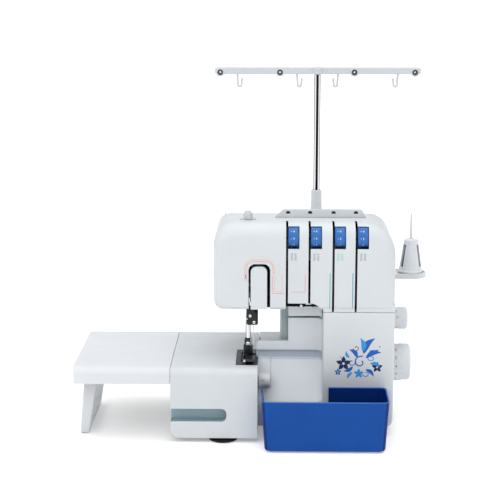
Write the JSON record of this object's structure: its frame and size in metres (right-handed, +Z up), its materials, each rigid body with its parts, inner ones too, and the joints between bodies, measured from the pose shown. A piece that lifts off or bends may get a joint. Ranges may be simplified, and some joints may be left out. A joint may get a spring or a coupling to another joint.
{
  "type": "serger overlock machine",
  "caption": "Table-top overlock sewing machine with a wide extension table on a folding leg, blue trim bin, tension dials, thread tree and cone stand.",
  "frame": {"origin": "centre of the bounding box's bottom face, on the surface that the machine stands on", "axes": "+X to the operator's right, +Y to the back of the machine, +Z up"},
  "size_m": [0.496, 0.276, 0.4922],
  "materials": {
    "white_plastic": "satin moulded",
    "clear_plastic": "translucent moulded",
    "blue_plastic": "satin moulded",
    "black_plastic": "moulded",
    "rubber": "matt",
    "chrome": "polished",
    "steel": "ground",
    "cast_metal": "cast",
    "plate_metal": "satin"
  },
  "bodies": {
    "machine": {"base_plate": "plate_metal", "rubber_foot_front_left": "rubber", "rubber_foot_back_left": "rubber", "rubber_foot_front_right": "rubber", "rubber_foot_back_right": "rubber", "machine_frame": "cast_metal", "head_housing": "white_plastic", "take_up_cover": "white_plastic", "rear_housing": "white_plastic", "thread_guide_plate": "white_plastic", "free_arm": "white_plastic", "needle_plate": "plate_metal", "lower_knife": "steel", "tension_shaft": "steel", "motor": "cast_metal", "drive_belt": "rubber", "power_inlet": "black_plastic", "spool_stand": "white_plastic", "spool_pin_1": "white_plastic", "spool_pin_2": "white_plastic", "spool_pin_3": "white_plastic", "spool_pin_4": "white_plastic", "mast_tube": "white_plastic"},
    "handwheel": {"main_shaft": "steel", "driven_pulley": "black_plastic", "handwheel": "white_plastic"},
    "motor_pulley": {"motor_pulley": "steel"},
    "needle_bar": {"needle_bar": "chrome", "needle_clamp": "black_plastic", "left_needle": "chrome", "right_needle": "chrome"},
    "take_up_lever": {"take_up_lever": "steel"},
    "upper_looper": {"upper_looper": "steel"},
    "lower_looper": {"lower_looper": "steel"},
    "upper_knife": {"upper_knife": "steel"},
    "feed_dog": {"feed_dog": "steel"},
    "presser": {"presser_bar": "chrome", "presser_foot": "steel"},
    "lifter_lever": {"lifter_lever": "steel"},
    "pressure_knob": {"pressure_knob": "clear_plastic"},
    "differential_dial": {"differential_dial": "white_plastic"},
    "stitch_length_dial": {"stitch_length_dial": "white_plastic"},
    "stitch_width_dial": {"stitch_width_dial": "white_plastic"},
    "power_switch": {"power_switch": "black_plastic"},
    "hinge_bar": {"cover_hinge_bar": "steel"},
    "front_cover": {"front_cover": "white_plastic"},
    "trim_bin": {"trim_bin": "blue_plastic"},
    "cloth_plate_box": {"cloth_plate_box": "white_plastic"},
    "extension_table": {"extension_table": "white_plastic"},
    "table_leg": {"table_leg": "white_plastic"},
    "mast_rod": {"mast_rod": "chrome"},
    "thread_tree": {"thread_tree": "white_plastic"},
    "tension_dial_1": {"tension_dial_1": "blue_plastic"},
    "cone_holder_1": {"cone_holder_1": "white_plastic"},
    "tension_dial_2": {"tension_dial_2": "blue_plastic"},
    "cone_holder_2": {"cone_holder_2": "white_plastic"},
    "tension_dial_3": {"tension_dial_3": "blue_plastic"},
    "cone_holder_3": {"cone_holder_3": "white_plastic"},
    "tension_dial_4": {"tension_dial_4": "blue_plastic"},
    "cone_holder_4": {"cone_holder_4": "white_plastic"}
  },
  "joints": [
    {"name": "handwheel_turn", "type": "hinge", "parent": "machine", "child": "handwheel", "pos_m": [0.028, 0.043, 0.073], "axis": [1, 0, 0], "continuous": true},
    {"name": "motor_turn", "type": "hinge", "parent": "machine", "child": "motor_pulley", "pos_m": [0.155, 0.043, 0.14], "axis": [1, 0, 0], "continuous": true},
    {"name": "needle_bar_stroke", "type": "slide", "parent": "machine", "child": "needle_bar", "axis": [0, 0, -1], "range_m": [0, 0.0245]},
    {"name": "take_up_swing", "type": "hinge", "parent": "machine", "child": "take_up_lever", "pos_m": [0.0213, -0.0305, 0.222], "axis": [1, 0, 0], "range_deg": [0, 18.5]},
    {"name": "upper_looper_swing", "type": "hinge", "parent": "machine", "child": "upper_looper", "pos_m": [0.059, -0.0253, 0.06], "axis": [0, 1, 0], "range_deg": [0, 10.5]},
    {"name": "lower_looper_swing", "type": "hinge", "parent": "machine", "child": "lower_looper", "pos_m": [0.018, -0.0357, 0.023], "axis": [0, 1, 0], "range_deg": [0, 8.5]},
    {"name": "knife_stroke", "type": "slide", "parent": "machine", "child": "upper_knife", "axis": [0, 0, -1], "range_m": [0, 0.0062]},
    {"name": "feed_stroke", "type": "slide", "parent": "machine", "child": "feed_dog", "axis": [0, 1, 0], "range_m": [0, 0.0026]},
    {"name": "presser_lift", "type": "slide", "parent": "machine", "child": "presser", "axis": [0, 0, 1], "range_m": [0, 0.005]},
    {"name": "lifter_swing", "type": "hinge", "parent": "machine", "child": "lifter_lever", "pos_m": [0.001, 0.035, 0.198], "axis": [1, 0, 0], "range_deg": [0, 25.5]},
    {"name": "pressure_turn", "type": "hinge", "parent": "machine", "child": "pressure_knob", "pos_m": [-0.012, -0.025, 0.3], "axis": [0, 0, 1], "range_deg": [-180, 180]},
    {"name": "tension_turn_1", "type": "hinge", "parent": "machine", "child": "tension_dial_1", "pos_m": [0.0501, -0.0515, 0.2775], "axis": [1, 0, 0], "range_deg": [-120, 120]},
    {"name": "tension_turn_2", "type": "hinge", "parent": "machine", "child": "tension_dial_2", "pos_m": [0.0804, -0.0515, 0.2775], "axis": [1, 0, 0], "range_deg": [-120, 120]},
    {"name": "tension_turn_3", "type": "hinge", "parent": "machine", "child": "tension_dial_3", "pos_m": [0.1126, -0.0515, 0.2775], "axis": [1, 0, 0], "range_deg": [-120, 120]},
    {"name": "tension_turn_4", "type": "hinge", "parent": "machine", "child": "tension_dial_4", "pos_m": [0.1433, -0.0515, 0.2775], "axis": [1, 0, 0], "range_deg": [-120, 120]},
    {"name": "differential_turn", "type": "hinge", "parent": "machine", "child": "differential_dial", "pos_m": [0.193, -0.017, 0.156], "axis": [1, 0, 0], "range_deg": [-60, 120]},
    {"name": "stitch_length_turn", "type": "hinge", "parent": "machine", "child": "stitch_length_dial", "pos_m": [0.193, -0.017, 0.093], "axis": [1, 0, 0], "range_deg": [-150, 120]},
    {"name": "stitch_width_turn", "type": "hinge", "parent": "machine", "child": "stitch_width_dial", "pos_m": [0.011, -0.063, 0.0795], "axis": [1, 0, 0], "range_deg": [-90, 180]},
    {"name": "switch_rock", "type": "hinge", "parent": "machine", "child": "power_switch", "pos_m": [0.186, 0.061, 0.029], "axis": [0, 0, 1], "range_deg": [-8, 8]},
    {"name": "cover_slide", "type": "slide", "parent": "machine", "child": "hinge_bar", "axis": [1, 0, 0], "range_m": [0, 0.008], "stiffness_N_per_m": 80},
    {"name": "cover_swing", "type": "hinge", "parent": "hinge_bar", "child": "front_cover", "pos_m": [0.028, -0.059, 0.018], "axis": [1, 0, 0], "range_deg": [0, 80]},
    {"name": "bin_slide", "type": "slide", "parent": "machine", "child": "trim_bin", "axis": [0, -1, 0], "range_m": [0, 0.215]},
    {"name": "box_slide", "type": "slide", "parent": "machine", "child": "cloth_plate_box", "axis": [-1, 0, 0], "range_m": [0, 0.12]},
    {"name": "table_slide", "type": "slide", "parent": "cloth_plate_box", "child": "extension_table", "axis": [-1, 0, 0], "range_m": [0, 0.05]},
    {"name": "leg_fold", "type": "hinge", "parent": "extension_table", "child": "table_leg", "pos_m": [-0.224, 0.004, 0.088], "axis": [0, -1, 0], "range_deg": [0, 88]},
    {"name": "mast_slide", "type": "slide", "parent": "machine", "child": "mast_rod", "axis": [0, 0, -1], "range_m": [0, 0.1]},
    {"name": "tree_turn", "type": "hinge", "parent": "mast_rod", "child": "thread_tree", "pos_m": [0.085, 0.119, 0.486], "axis": [0, 0, 1], "range_deg": [-90, 90]},
    {"name": "cone_lift_1", "type": "slide", "parent": "machine", "child": "cone_holder_1", "axis": [0, 0, 1], "range_m": [0, 0.08]},
    {"name": "cone_lift_2", "type": "slide", "parent": "machine", "child": "cone_holder_2", "axis": [0, 0, 1], "range_m": [0, 0.08]},
    {"name": "cone_lift_3", "type": "slide", "parent": "machine", "child": "cone_holder_3", "axis": [0, 0, 1], "range_m": [0, 0.08]},
    {"name": "cone_lift_4", "type": "slide", "parent": "machine", "child": "cone_holder_4", "axis": [0, 0, 1], "range_m": [0, 0.08]}
  ],
  "couplings": [
    {"joint": "motor_turn", "follows": "handwheel_turn", "ratio": 3.1111},
    {"joint": "take_up_swing", "follows": "needle_bar_stroke", "rad_per_m": 12.8},
    {"joint": "upper_looper_swing", "follows": "needle_bar_stroke", "rad_per_m": 7.1},
    {"joint": "lower_looper_swing", "follows": "needle_bar_stroke", "rad_per_m": 5.7},
    {"joint": "knife_stroke", "follows": "needle_bar_stroke", "ratio": 0.245},
    {"joint": "feed_stroke", "follows": "needle_bar_stroke", "ratio": 0.102},
    {"joint": "lifter_swing", "follows": "presser_lift", "rad_per_m": 87},
    {"joint": "bin_slide", "follows": "cover_swing", "m_per_rad": 0.153}
  ]
}
